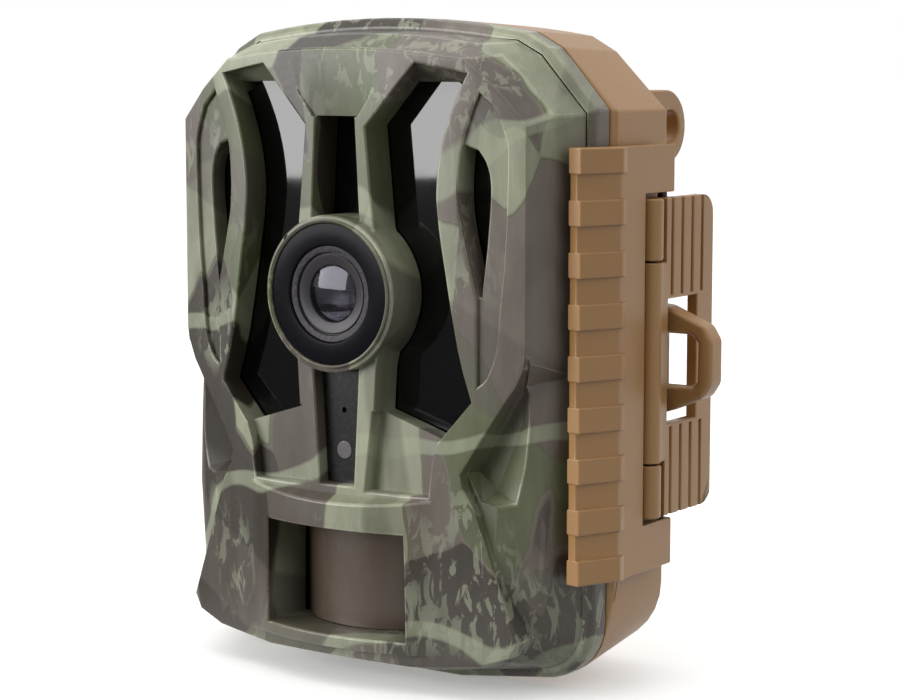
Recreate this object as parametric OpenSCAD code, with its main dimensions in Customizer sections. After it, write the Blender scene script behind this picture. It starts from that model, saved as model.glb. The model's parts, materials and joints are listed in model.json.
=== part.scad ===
// Compact trail camera with a side latch. Millimetres, +Z up, front faces -Y.
// The mouth of the tripod thread in the base is the origin.

/* [Case] */
// overall width of the two shells, without hinge and latch
case_w = 78; // [76:0.5:96]
// overall height of the shells
case_h = 104.7; // [87:0.5:128]
// depth from the bezel face to the parting plane
front_d = 16.5; // [14:0.25:20]
// wall of the rear shell
wall = 2.4; // [1.8:0.1:3]
// radius of the hinge knuckles
knuckle_r = 2.2; // [1.8:0.1:2.7]
// radius of the hinge pin
pin_r = 1.1; // [0.9:0.05:1.35]
// radius of a cable ear
ear_r = 5.9; // [5:0.1:7.1]
// radius of the hole in a cable ear
ear_hole_r = 2.7; // [2:0.1:3.2]
// thickness of a cable ear
ear_t = 3; // [2.4:0.1:4]
// radius of the tripod thread
thread_r = 3.175; // [2.6:0.005:3.9]
// length of the tripod thread
thread_l = 8; // [6:0.1:9.6]

/* [Front] */
// radius of the lens barrel
barrel_r = 12.3; // [10.2:0.1:14.8]
// how far the barrel stands out from the bezel
barrel_out = 3.5; // [2:0.1:4.2]
// radius of the lens shroud
shroud_r = 9.2; // [7.7:0.1:11]
// radius of the opening in the lens ring
aperture_r = 7.6; // [6.3:0.1:9.1]
// radius of the front lens
lens_r = 4; // [3.3:0.05:4.8]
// depth of the bow across the bezel
bow = 3.4; // [1:0.1:5]
// depth of the step beside the slim openings
strip_step = 0.7; // [0.3:0.1:1]
// depth of the window face behind the bezel
window_y = 5.1; // [4.3:0.1:6.1]
// thickness of the window
window_t = 1.5; // [1:0.1:2]
// height of the motion sensor opening
pir_h = 16.8; // [12:0.2:20.2]
// radius of the motion sensor lens
pir_r = 16; // [14:0.2:19.2]
// radius of the light pipe
pipe_r = 1.5; // [1:0.1:1.8]

/* [Latch] */
// height of the hook plate
hook_h = 66.3; // [55:0.1:80]
// thickness of the hook plate
hook_t = 2.4; // [2:0.1:2.9]
// height of each arm of the hook
arm_h = 7.4; // [6:0.1:9]
// number of grip ribs on the hook
rib_count = 9; // [5:1:11]
// height of a grip rib
rib_h = 3.9; // [3:0.1:4.7]
// length of the lever behind its pivot
lever_l = 17.6; // [16:0.1:22]
// radius of the lever knuckles
lever_r = 2; // [1.7:0.05:2.4]
// radius of the lever pin
lever_pin_r = 1; // [0.8:0.05:1.2]
// radius of the link pins
link_r = 0.75; // [0.6:0.05:0.9]
// thickness of the padlock loop
loop_t = 4; // [3:0.1:4.8]
// how far the padlock loop stands out
loop_out = 10.4; // [8:0.1:12]

/* [Inside] */
// radius of an AA cell
cell_r = 7.25; // [6:0.05:8.7]
// length of an AA cell
cell_l = 50.5; // [42:0.1:60.6]
// radius of a menu button
button_r = 2.2; // [1.6:0.1:2.65]
// travel of a menu button
button_travel = 0.5; // [0.3:0.1:0.6]
// thickness of the inner panel
panel_t = 1.6; // [1.2:0.1:2]
// thickness of the boards
board_t = 1.2; // [0.8:0.1:1.6]
// radius of the screws
screw_r = 0.9; // [0.7:0.05:1.1]

/* [Fits] */
// radial running clearance of the pivots
run = 0.05; // [0.02:0.01:0.1]
// clearance of pieces set into one another
fit = 0.1; // [0.05:0.01:0.15]
// clearance between parts that move past one another
gap = 0.3; // [0.2:0.05:0.4]

/* [Hidden] */
$fn = 48;
kz = case_h / 104.7;
cell_pitch = 2 * cell_r + 0.5;
tray_half = 2 * cell_pitch + 1;
kx = max(case_w / 78, (tray_half + 0.4) / 33.4);
half = 39 * kx;
lens_z = 62 * kz;
face_y = -1.3;
bow_r = (33 * 33 * kx * kx + bow * bow) / (2 * bow);
window_y0 = window_y - fit;
window_y1 = window_y + window_t;
rim_y = front_d - 3.5;
cavity_y = window_y + 3.3;
led_y = max(window_y1 + 2.8, window_y + 7.3);
led_y1 = led_y + board_t;
board_y = max(front_d + 0.1, led_y1 + 2.6);
board_y1 = board_y + board_t;
panel_y = board_y1 + 1.6;
panel_y1 = panel_y + panel_t;
button_y = panel_y1 + 0.8;
cell_y = panel_y1 + 0.5 + cell_r;
tray_y1 = cell_y + cell_r + 0.5;
floor_y = tray_y1 + fit;
back_y = floor_y + wall - 0.2;
rear_y = back_y - 5.8;
thread_y = front_d + 10.5;
insert_r = thread_r + 1.825;
insert_h = thread_l + 0.8;
boss_r = insert_r + 4;
tray_z0 = max(insert_h + 3.2, 12 * kz);
cell_z0 = tray_z0 + 2.7;
tray_z1 = cell_z0 + cell_l + 2.7;
tray_screw_x = tray_half - 5;
tray_screw_z = tray_z1 + 3.2;
btn_z = max(tray_z1 + 15.9, 84 * kz);
btn_x = 18.6 * kx;
usb_z = btn_z - 25;
lcd_x = 26.6 * kx;
btn_step = 2 * button_r + 1.6;
btn_spots = [[0, btn_step], [0, -btn_step], [-btn_step, 0], [btn_step, 0], [0, 0]];
mode_x = -31.6 * kx;
post_x = 30.5 * kx;
post_r = screw_r + 1.5;
post_zs = [26 * kz, 90 * kz];
seat_r = insert_r + 2.2;
seat_h = insert_h + 1.6;
hinge_x = -half - 0.6 * kx - knuckle_r - fit;
hinge_y = front_d + 4.2;
hinge_z0 = 16 * kz;
hinge_step = 14.4 * kz;
side_x = half + 0.6 * kx;
lever_x = side_x + lever_r + gap;
lever_y = front_d + 7.5;
plate_in = lever_x - 0.4;
plate_out = lever_x + 1.5;
hook_x = side_x + 0.6;
link_x = hook_x + hook_t / 2;
link_y = lever_y + lever_r + 2.4;
hook_mid = 52 * kz;
hook_z0 = hook_mid - hook_h / 2;
hook_z1 = hook_mid + hook_h / 2;
lever_z0 = hook_z0 + arm_h + 0.8;
lever_z1 = hook_z1 - arm_h - 0.8;
knuckle_z0 = lever_z0 + 8.7;
knuckle_z1 = lever_z1 - 9.9;
loop_z = (knuckle_z0 + knuckle_z1) / 2;
loop_y = lever_y + lever_r + 3;
loop_x = side_x + loop_out;
loop_h = 8.5;
slot_y = lever_y + lever_r + 1.2;
slot_y1 = lever_y + 0.4 + sqrt(pow(loop_x - lever_x, 2) + pow(loop_y + loop_t - lever_y, 2));
slot_h = 2 * loop_h + 2.6;
plate_y1 = max(lever_y + lever_l, slot_y1 + 4.4);
ear_x = 32.3 * kx;
ear_y = back_y + 2.1;
ear_hole_y = back_y + ear_hole_r + 0.4;
ear_z = 87.4 * kz;
pir_x = 13.3 * kx;
pir_z0 = 8.3 * kz;
frame_r = 44;
mic_z = lens_z - 18.6 * kz;
pipe_z = lens_z - 25 * kz;
led_spots = [[10, 92], [15.5, 93.5], [12, 86], [17, 87.5], [9, 80], [14, 81], [15, 75], [24.6, 80], [24.4, 74]];

// the part is drawn with its bezel at y = 0 and moved so the thread is the origin
module seat() { translate([0, -thread_y, 0]) children(); }

// a flat outline in x and z made solid from y0 to y1
module slab(y0, y1) {
  translate([0, y1, 0]) rotate([90, 0, 0]) linear_extrude(y1 - y0) children();
}

// a round bar along y
module rod_y(x, z, r, y0, y1) {
  translate([x, y1, z]) rotate([90, 0, 0]) cylinder(r = r, h = y1 - y0);
}

// a round bar along z
module rod_z(x, y, r, z0, z1, n = 48) { translate([x, y, z0]) cylinder(r = r, h = z1 - z0, $fn = n); }

module box(x0, x1, y0, y1, z0, z1) { translate([x0, y0, z0]) cube([x1 - x0, y1 - y0, z1 - z0]); }

module mirrored() {
  children();
  mirror([1, 0, 0]) children();
}

function flip(p) = [for (i = [len(p) - 1:-1:0]) [-p[i][0], p[i][1]]];
function both(p) = concat(p, flip(p));
function sized(p) = [for (q = p) [q[0] * kx, q[1] * kz]];
function arch(w, top, r) = [for (i = [0:6]) let (x = w * i / 6) [x, top - r + sqrt(r * r - x * x)]];
// a smooth curve through the points p, with n pieces between two points
function bend(p, n = 3) = concat([for (i = [0:len(p) - 2], k = [0:n - 1])
  let (a = p[max(i - 1, 0)], b = p[i], c = p[i + 1], d = p[min(i + 2, len(p) - 1)], u = k / n)
  (2 * b + (c - a) * u + (2 * a - 5 * b + 4 * c - d) * u * u + (3 * b - a - 3 * c + d) * u * u * u) / 2],
  [p[len(p) - 1]]);
function corner(x, z, r, d) = [for (a = [0:13:78]) [x + (r - d) * cos(a), z - (r - d) * sin(a)]];

// the rim where the shells meet, d inside the outer edge
function rim(d) = sized(concat(
  arch(26 - 0.6 * d, 104.7 - d, 151),
  [[30.6 - 0.8 * d, 100 - 0.75 * d], [33.3 - 0.85 * d, 97.1 - 0.7 * d], [39 - d, 90.7 - 0.4 * d]],
  corner(29.5, 11.5, 9.5, d),
  [[14, d]]));

// the rear shell, which is lower and rounder at the bottom
function rear(d) = sized(concat(
  arch(26 - 0.6 * d, 104.3 - d, 151),
  [[30.4 - 0.8 * d, 99.6 - 0.75 * d], [33.2 - 0.85 * d, 96.7 - 0.7 * d], [39.6 - d, 90.4 - 0.4 * d]],
  corner(28.6, 15, 11, d),
  [[14, 3.2 + d]]));

// the crease round the side walls of the front shell
function crease(d) = sized(concat(
  arch(22 - 0.6 * d, 102.2 - d, 145),
  [[26 - 0.8 * d, 98.9 - 0.8 * d], [30.2 - 0.85 * d, 95.4 - 0.7 * d], [35.2 - d, 89.8 - 0.4 * d],
   [35.2 - d, 13], [33.6 - d, 8.6 + 0.4 * d], [29.5 - 0.6 * d, 4.7 + 0.8 * d], [14, 2.3 + d]]));

// the bezel band: round the top, down the sides, in to the waist, down beside the sensor
bezel_top = concat(arch(20, 100.1, 140), [[22.5, 98.4], [28.3, 93.7], [33, 88.6]]);
front_up = sized(concat(bezel_top, [[33, 53], [30, 49]]));
front_low = sized([[0, 48], [29.6, 46.7], [25.5, 7], [14, 4.2]]);
crease_up = sized(concat(arch(22, 102.2, 145),
  [[26, 98.9], [30.2, 95.4], [35.2, 89.8], [35.2, 58], [31.4, 49]]));
crease_low = sized([[0, 54], [31.6, 54], [32.6, 49], [33.5, 40], [33.9, 28], [33.3, 18], [31.6, 10.6],
  [28.5, 5.6], [14, 2.3]]);
rim_up = sized(concat(arch(25, 102.9, 151), [[29.2, 98.7], [31.8, 95.8], [37.2, 90], [37.2, 50]]));
rim_low = sized(concat([[0, 58], [37.2, 58]], corner(29.5, 11.5, 9.5, 1.8), [[14, 1.8]]));
band = sized(concat(bezel_top, [[33, 54.5], [32.6, 52], [31.4, 49.3], [29.6, 46.7], [22.3, 35.2],
  [22.6, 33.4], [24.4, 30.5], [28.5, 19], [32, 9.8], [30.6, 7.4], [25.5, 5.6], [14, 4.2]]));

// the openings of the bezel, right half
leg_edge = bend([[22.7, 85.4], [22.3, 83.6], [22, 79], [22.2, 75], [23, 71], [25.1, 62.6]]);
main_hole = sized(concat([[14.5, 97.6]],
  bend([[23.4, 96.1], [21.6, 92.2], [20, 88], [18.8, 83], [18.3, 78], [18.6, 74], [19.4, 68.5], [21.9, 54.5],
        [24.2, 46.4]]),
  [[18.9, 40.2], [7.2, 43.8], [7.6, 50.5], [10.4, 62], [7.3, 72.5], [5.8, 88]]));
slim_hole = sized(concat(leg_edge,
  bend([[25.6, 62.6], [26.4, 70], [26.9, 76.5], [26.9, 80], [26.3, 82.6], [25, 84.6]])));
strip = sized(concat([[25.5, 93.2], [24.6, 91.2], [23.2, 87.2]], leg_edge,
  bend([[25.2, 49], [26.9, 50.6], [28.4, 55], [28.8, 61], [29.4, 66], [29.9, 74], [30.1, 83], [29.8, 86.4],
        [28.2, 90.6]])));
top_hole = sized([[3.75, 89.5], [4.6, 74], [4.9, 64]]);
tongue = sized([[4.5, 56], [4.3, 49], [3.3, 31.8]]);
panel_cut = sized([[6.9, 43.9], [18.8, 40.3], [17.5, 36.6], [16.9, 31.3], [5.3, 31.3]]);
window_edge = sized([[0, 96.8], [18, 95.4], [24.6, 91.6], [29.4, 86.8], [29.4, 54], [25.3, 46],
  [20.6, 39.6], [18.6, 36.4], [18.6, 33.2], [0, 33.2]]);
panel_edge = sized([[0, 98.4], [24, 97], [28.8, 95], [34.4, 88.9], [34.4, 14], [27, 7.5], [0, 7]]);
panel_in = sized([[0, 97.8], [23.9, 96.4], [28.5, 94.4], [33.8, 88.6], [33.8, 14.2], [26.8, 8.1], [0, 7.6]]);
board_edge = sized([[0, 97.5], [24, 95.5], [32, 88], [32, 14], [26, 8.5], [0, 8.5]]);

// a big opening, whose top wall slopes down towards the window
module main_cut(y1) {
  difference() {
    slab(-9, y1) polygon(main_hole);
    translate([11 * kx, 0, 0]) rotate([90, 0, 90]) linear_extrude(14 * kx)
      polygon([[0.2, 97.9 * kz], [window_y0, 94.6 * kz], [12, 94.6 * kz], [12, 97.9 * kz]]);
  }
}

// the brow above the middle opening, which leans back towards it
module brow_cut() intersection() {
  slab(-9, 3) polygon(both(sized([[8.4, 95.2], [4.2, 89.4]])));
  translate([-20 * kx, 0, 0]) rotate([90, 0, 90]) linear_extrude(40 * kx)
    polygon([[-9, 95.2 * kz], [face_y, 95.2 * kz], [face_y + 0.7, 89.4 * kz], [-9, 89.4 * kz]]);
}

// the hollow outside the waist of the band
module wedge_cut() {
  hull() {
    slab(-6, 2.6) polygon(sized([[22.4, 35.2], [33.4, 54.2], [38, 48], [34, 30], [25, 31]]));
    slab(2.6, 5.6) polygon(sized([[22.5, 35.2], [30.6, 47.6], [30.4, 43], [26, 32.5]]));
  }
}

// front shell: rim, flared walls, skeleton bezel, lens barrel and motion sensor frame in one moulding
module front_shell() color([0.5, 0.57, 0.45]) seat() {
  difference() {
    union() {
      hull() {
        slab(rim_y, front_d - fit) polygon(both(rim(0)));
        slab(rim_y - 1, rim_y - 0.9) polygon(both(rim(1.2)));
      }
      difference() {
        union() {
          hull() {
            slab(rim_y - 1.1, rim_y - 0.9) polygon(both(rim_up));
            slab(6.2, 6.3) polygon(both(crease_up));
            slab(2.4, 2.5) polygon(both(front_up));
          }
          hull() {
            slab(rim_y - 1.1, rim_y - 0.9) polygon(both(rim_low));
            slab(6.2, 6.3) polygon(both(crease_low));
            slab(2.4, 2.5) polygon(both(front_low));
          }
        }
        mirrored() wedge_cut();
      }
      intersection() {
        slab(-6, cavity_y) polygon(both(band));
        rod_z(0, bow_r + face_y, bow_r, 0, case_h, 360);
      }
      intersection() {
        translate([-20 * kx, 0, 0]) rotate([90, 0, 90]) linear_extrude(40 * kx)
          polygon([[-8, 6.2 * kz], [-8, 28 * kz], [1.4, 31.3 * kz], [cavity_y, 31.3 * kz],
                   [cavity_y, 6.2 * kz]]);
        rod_z(0, frame_r - 4, frame_r, 0, case_h, 180);
      }
      rod_y(0, lens_z, barrel_r, 0.5 - barrel_out, window_y0);
      rod_y(0, lens_z, barrel_r - 0.7, -barrel_out, window_y0);
      mirrored() for (z = post_zs) rod_y(post_x, z, post_r, cavity_y - 0.4, panel_y - 0.05);
      for (i = [1, 3]) translate([0, 0, hinge_z0 + i * hinge_step]) linear_extrude(hinge_step - gap) {
        translate([hinge_x, hinge_y]) circle(knuckle_r);
        polygon([[1 - half, rim_y + 0.4], [1 - half, front_d - fit], [-half - 0.3, front_d - fit],
                 [hinge_x + knuckle_r, front_d + 1], [hinge_x + knuckle_r, hinge_y],
                 [hinge_x - 0.4, hinge_y], [hinge_x - 0.4, front_d + 2.8], [-half - 0.2, rim_y + 0.4]]);
      }
    }
    difference() {
      hull() {
        slab(front_d, front_d + 1) polygon(both(rim(3)));
        slab(cavity_y, cavity_y + 0.1) polygon(both(crease(2.8)));
      }
      mirrored() for (z = post_zs) rod_y(post_x, z, post_r, 0, panel_y - 0.05);
    }
    slab(window_y0, cavity_y + 0.6) polygon(both(window_edge));
    mirrored() {
      difference() {
        main_cut(window_y0 + 4);
        rod_y(0, lens_z, barrel_r, -9, window_y0);
      }
      slab(-9, window_y0 + 4) polygon(slim_hole);
      slab(-9, 1.4) polygon(panel_cut);
      difference() {
        slab(-9, 4) polygon(strip);
        rod_z(0, bow_r + face_y, bow_r - strip_step, 0, case_h, 360);
      }
      for (z = post_zs) rod_y(post_x, z, screw_r + run, panel_y - 8, panel_y + 1);
    }
    difference() {
      union() {
        slab(-9, window_y0 + 4) polygon(both(top_hole));
        slab(-9, window_y0 + 4) polygon(both(tongue));
      }
      rod_y(0, lens_z, barrel_r, -9, window_y0);
    }
    slab(-9, cavity_y + 2) polygon(both([[pir_x, pir_z0 + pir_h], [pir_x + 0.2, pir_z0]]));
    brow_cut();
    rod_y(0, lens_z, barrel_r - 1.2, -barrel_out - 1, 1.4 - barrel_out);
    rod_y(0, lens_z, shroud_r + fit, -9, cavity_y + 0.6);
    rod_z(hinge_x, hinge_y, pin_r + run, 0, case_h);
  }
}

// black infrared window
module ir_window() color([0.03, 0.03, 0.04]) seat() difference() {
  slab(window_y, window_y1) polygon(both([for (q = window_edge) [q[0] * 0.995, q[1]]]));
  rod_y(0, lens_z, shroud_r + fit, 0, 30);
  rod_y(0, mic_z, 0.45, 0, 30);
  rod_y(0, pipe_z, pipe_r + run, 0, 30);
}

// black tongue below the lens, set between the two lower ribs
module sensor_tongue() color([0.03, 0.03, 0.04]) seat() difference() {
  slab(1, window_y) polygon(both([for (q = tongue) [q[0] - 0.06, q[1] + 0.06]]));
  rod_y(0, lens_z, barrel_r + fit, -9, window_y + 1);
  rod_y(0, mic_z, 0.45, 0, 30);
  rod_y(0, pipe_z, pipe_r + run, 0, 30);
}

module led_board() color([0.1, 0.3, 0.16]) seat() {
  difference() {
    slab(led_y, led_y1) polygon(both(sized([[0, 96], [18, 95], [26.5, 90.5], [26.5, 55], [0, 50]])));
    rod_y(0, lens_z, shroud_r + fit, 0, 30);
  }
}

module ir_leds() color([0.75, 0.75, 0.8]) seat() {
  mirrored() for (p = led_spots)
    translate([p[0] * kx, led_y, p[1] * kz]) rotate([90, 0, 0]) rotate_extrude($fn = 16)
      polygon([[0, 0], [1.7, 0], [1.7, 0.5], [1.5, 0.5], [1.5, 1.1], [1.2, 1.8], [0.6, 2.3], [0, 2.4]]);
}

module lens_ring() color([0.05, 0.05, 0.07]) seat() difference() {
  rod_y(0, lens_z, barrel_r - 1.2 - run, 0.45 - barrel_out, 1.4 - barrel_out);
  rod_y(0, lens_z, aperture_r, -9, 9);
}

// radius on the shroud's face, from the lens edge (0) to the aperture (1)
function cone_r(t) = lens_r + t * (aperture_r - lens_r);

// the shroud steps down from the ring to the front lens
module lens_shroud() color([0.42, 0.39, 0.44]) seat()
  translate([0, 1.4 - barrel_out, lens_z]) rotate([-90, 0, 0]) rotate_extrude()
    polygon([[aperture_r, 0], [shroud_r, 0], [shroud_r, 6.2], [lens_r + run, 6.2], [lens_r + run, 2.6],
             [cone_r(0.11), 2.6], [cone_r(0.58), 1.5], [cone_r(0.69), 1.5], [cone_r(0.69), 1],
             [aperture_r, 0.3]]);

module lens_glass() color([0.2, 0.2, 0.28]) seat()
  translate([0, 3 - barrel_out, lens_z]) rotate([-90, 0, 0]) rotate_extrude()
    polygon(concat([[0, 4.6], [lens_r, 4.6], [lens_r, 1.1]],
      [for (a = [60:-10:0]) [(lens_r - 0.05) * sin(a) / sin(60), 1.1 * (1 - cos(a)) / (1 - cos(60))]]));

module lens_holder() color([0.06, 0.06, 0.07]) seat() difference() {
  union() {
    rod_y(0, lens_z, shroud_r - 0.2, 7.6 - barrel_out + fit, led_y1 + 1.2);
    rod_y(0, lens_z, shroud_r + 1.5, led_y1, led_y1 + 1.2);
  }
  rod_y(0, lens_z, lens_r - 0.5, 0, led_y1);
}

// curved motion sensor lens, held in its tunnel
module pir_lens() color([0.36, 0.3, 0.26]) seat() difference() {
  intersection() {
    rod_z(0, pir_r + 2, pir_r, pir_z0 + run, pir_z0 + pir_h - run, 120);
    box(run - pir_x, pir_x - run, 0, cavity_y + 1.2, 0, case_h);
  }
  rod_z(0, pir_r + 2, pir_r - 1, 0, case_h, 120);
}

module pir_sensor() color([0.75, 0.74, 0.7]) seat() {
  rod_y(0, pir_z0 + pir_h / 2, 4.1, board_y - 5.4, board_y);
  rod_y(0, pir_z0 + pir_h / 2, 4.7, board_y - 0.6, board_y);
}

module mic() color([0.7, 0.7, 0.7]) seat() rod_y(0, mic_z, 2, window_y1, board_y);

module light_pipe() color([0.55, 0.53, 0.55]) seat() {
  rod_y(0, pipe_z, pipe_r, 0.9, window_y1);
  rod_y(0, pipe_z, pipe_r + 0.7, window_y1, board_y);
}

module main_board() color([0.08, 0.28, 0.15]) seat() difference() {
  slab(board_y, board_y1) polygon(both(board_edge));
  mirrored() for (z = post_zs) rod_y(post_x, z, post_r + fit, 0, 40);
}

module lcd() color([0.1, 0.12, 0.14]) seat() {
  box(-lcd_x, lcd_x - 20 * kx, board_y1, panel_y - fit, btn_z - 12.4, btn_z + 10);
  box(1.7 - lcd_x, lcd_x - 20 * kx - 1.7, panel_y - fit, panel_y + 0.5, btn_z - 10.9, btn_z + 8.4);
}

// inner panel that closes the front shell, with its skirt, screen window and button holes
module inner_panel() color([0.16, 0.16, 0.15]) seat() difference() {
  union() {
    slab(panel_y, panel_y1) polygon(both(panel_edge));
    difference() {
      slab(front_d + 0.2, panel_y) polygon(both(panel_edge));
      slab(0, panel_y) polygon(both(panel_in));
    }
  }
  box(1.6 - lcd_x, lcd_x - 20 * kx - 1.6, 0, 60, btn_z - 11, btn_z + 8.5);
  box(33 * kx, 60, board_y1 - fit, board_y1 + 1.4 + fit, btn_z - 15.2, btn_z - 9.6);
  box(33 * kx, 60, board_y1 - fit, board_y1 + 1.4 + fit, usb_z - 0.2, usb_z + 8.2);
  for (p = btn_spots) rod_y(btn_x + p[0], btn_z + p[1], button_r + 0.15, 0, 60);
  box(mode_x, mode_x + 2.4, 0, 60, btn_z - 6.2, btn_z + 2.2);
  mirrored() for (z = post_zs) {
    rod_y(post_x, z, screw_r + gap, 0, 60);
    rod_y(post_x, z, post_r + fit, 0, panel_y);
  }
  rod_z(0, thread_y, seat_r + 2 * gap, 0, seat_h + 2 * gap);
}

// a cross-head screw along y: shank from y0, head from y1 to y2
module screw(x, z, y0, y1, y2) {
  a = min((y1 + y2) / 2, (3 * y2 - y1) / 2);
  b = max((y1 + y2) / 2, (3 * y2 - y1) / 2);
  rod_y(x, z, screw_r, min(y0, y1), max(y0, y1));
  difference() {
    rod_y(x, z, screw_r + 1, min(y1, y2), max(y1, y2));
    box(x - 1.3, x + 1.3, a, b, z - 0.25, z + 0.25);
    box(x - 0.25, x + 0.25, a, b, z - 1.3, z + 1.3);
  }
}

module panel_screws() color([0.7, 0.7, 0.72]) seat() mirrored()
  for (z = post_zs) screw(post_x, z, panel_y - 6, panel_y1, panel_y1 + 0.9);

module button(i) color([0.3, 0.3, 0.3]) seat() {
  x = btn_x + btn_spots[i][0];
  z = btn_z + btn_spots[i][1];
  rod_y(x, z, button_r, panel_y - fit, button_y);
  rod_y(x, z, button_r + 0.5, panel_y - 0.7, panel_y - fit);
}

module tact_switches() color([0.6, 0.6, 0.6]) seat() for (p = btn_spots)
  translate([btn_x + p[0], 0, btn_z + p[1]]) box(-2, 2, board_y1, panel_y - 0.8 - button_travel, -2, 2);

module mode_switch() color([0.85, 0.85, 0.85]) seat() {
  box(mode_x + 0.2, mode_x + 2.2, panel_y - 0.2, panel_y1 + 1, btn_z - 4, btn_z);
  box(mode_x - 0.4, mode_x + 2.8, board_y1 + 0.1, panel_y - 0.2, btn_z - 4, btn_z);
}

module sd_socket() color([0.75, 0.75, 0.76]) seat() difference() {
  box(17 * kx, 17 * kx + 14, board_y1, board_y1 + 1.4, btn_z - 15.6, btn_z - 9.2);
  box(0, 60, board_y1 + 0.25, board_y1 + 1.15, btn_z - 15.1, btn_z - 9.7);
}

module sd_card() color([0.05, 0.05, 0.06]) seat()
  box(35 * kx - 15, 35 * kx, board_y1 + 0.25 + run, board_y1 + 1.15 - run, btn_z - 15.05, btn_z - 9.75);

module usb_socket() color([0.78, 0.78, 0.79]) seat() difference() {
  box(33.4 * kx - 5.6, 33.4 * kx, board_y1, board_y1 + 1.4, usb_z, usb_z + 8);
  box(33.4 * kx - 5, 60, board_y1 + 0.2, board_y1 + 1.2, usb_z + 0.3, usb_z + 7.7);
}

// the outside of the rear shell
module rear_block() hull() {
  slab(front_d + fit, front_d + 0.3) polygon(both(rim(0)));
  slab(front_d + 1.3, front_d + 1.5) polygon(both(rear(0)));
  slab(rear_y, rear_y + 0.2) polygon(both(rear(0.2)));
  slab(back_y - 0.2, back_y) polygon(both(rear(6)));
}

// rear shell with hinge knuckles, latch knuckles and tripod boss
module rear_shell() color([0.55, 0.43, 0.32]) seat() difference() {
  union() {
    difference() {
      union() {
        rear_block();
        rod_z(0, thread_y, boss_r, 0, 7);
      }
      hull() {
        slab(front_d - 1, front_d + 0.3) polygon(both(rim(3)));
        slab(rear_y - 0.4, rear_y - 0.2) polygon(both(rear(wall + 0.4)));
        slab(floor_y - 0.2, floor_y) polygon(both(rear(6.2)));
      }
    }
    rod_z(0, thread_y, seat_r, 0, seat_h);
    for (z = [[lever_z0, knuckle_z0 - gap], [knuckle_z1 + gap, lever_z1]]) {
      rod_z(lever_x, lever_y, lever_r, z[0], z[1]);
      box(half - 1, lever_x, lever_y - lever_r, lever_y, z[0], z[1]);
    }
    for (i = [0, 2, 4]) {
      rod_z(hinge_x, hinge_y, knuckle_r, hinge_z0 + i * hinge_step, hinge_z0 + (i + 1) * hinge_step - gap);
      box(hinge_x, 1 - half, hinge_y - 1, hinge_y + knuckle_r,
          hinge_z0 + i * hinge_step, hinge_z0 + (i + 1) * hinge_step - gap);
    }
    for (x = [-tray_screw_x, tray_screw_x]) rod_y(x, tray_screw_z, screw_r + 1.5, floor_y - 6, floor_y + 0.1);
  }
  rod_z(0, thread_y, insert_r + run, -1, insert_h);
  rod_z(lever_x, lever_y, lever_pin_r + run, 0, case_h);
  rod_z(hinge_x, hinge_y, pin_r + run, 0, case_h);
  difference() {
    slab(front_d, front_d + 1.1) polygon(both(rim(1)));
    slab(front_d - 1, front_d + 2) polygon(both(rim(2.1)));
  }
  for (x = [-tray_screw_x, tray_screw_x]) rod_y(x, tray_screw_z, screw_r + run, floor_y - 7, floor_y - 0.5);
}

// a cable ear, trimmed to the back of the shell it is fixed to
module ear() difference() {
  union() {
    rotate([90, 0, 90]) translate([ear_y, ear_z, ear_x]) cylinder(r = ear_r, h = ear_t);
    box(ear_x, ear_x + ear_t, back_y - 3.6, ear_y, ear_z - ear_r, ear_z + ear_r);
  }
  rear_block();
  rotate([90, 0, 90]) translate([ear_hole_y, ear_z, ear_x - 1]) cylinder(r = ear_hole_r, h = ear_t + 2);
}

module ear_right() color([0.55, 0.43, 0.32]) seat() ear();

module ear_left() color([0.55, 0.43, 0.32]) seat() mirror([1, 0, 0]) ear();

// the loop that comes through the closed lever for a padlock
module padlock_loop() color([0.55, 0.43, 0.32]) seat() difference() {
  slab(loop_y, loop_y + loop_t) polygon([[half - 1, loop_z - loop_h - 0.1], [side_x + 2, loop_z - loop_h],
    [loop_x - 1.4, loop_z - 5.6], [loop_x, loop_z - 3.4], [loop_x, loop_z + 3.4],
    [loop_x - 1.4, loop_z + 5.6], [side_x + 2, loop_z + loop_h], [half - 1, loop_z + loop_h + 0.1]]);
  rear_block();
  slab(loop_y - 1, loop_y + loop_t + 1) polygon([[side_x + 0.9, loop_z - 4.2], [loop_x - 3.8, loop_z - 4.2],
    [loop_x - 2.6, loop_z - 3], [loop_x - 2.6, loop_z + 3], [loop_x - 3.8, loop_z + 4.2],
    [side_x + 0.9, loop_z + 4.2]]);
}

module tripod_insert() color([0.75, 0.6, 0.3]) seat() difference() {
  rod_z(0, thread_y, insert_r, 0, insert_h);
  rod_z(0, thread_y, thread_r, -1, thread_l);
}

function cell_x(i) = cell_pitch * (i - 1.5);

module battery_tray() color([0.09, 0.09, 0.09]) seat() difference() {
  union() {
    box(-tray_half, tray_half, cell_y, tray_y1, tray_z0, tray_z1);
    box(-tray_half, tray_half, cell_y - 5.5, cell_y, tray_z0, tray_z0 + 1.6);
    box(-tray_half, tray_half, cell_y - 5.5, cell_y, tray_z1 - 1.6, tray_z1);
    for (x = [-tray_screw_x, tray_screw_x]) {
      rod_y(x, tray_screw_z, 3.4, floor_y - 8, floor_y - 6 - run);
      box(x - 3.4, x + 3.4, floor_y - 8, floor_y - 6 - run, tray_z1 - 1, tray_screw_z);
    }
  }
  for (i = [0:3]) rod_z(cell_x(i), cell_y, cell_r + fit, tray_z0 + 1.6, tray_z1 - 1.6);
  for (x = [-tray_screw_x, tray_screw_x]) rod_y(x, tray_screw_z, screw_r + 0.2, 0, 60);
}

module tray_screws() color([0.7, 0.7, 0.72]) seat() for (x = [-tray_screw_x, tray_screw_x])
  screw(x, tray_screw_z, floor_y - 2, floor_y - 8, floor_y - 8.9);

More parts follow.
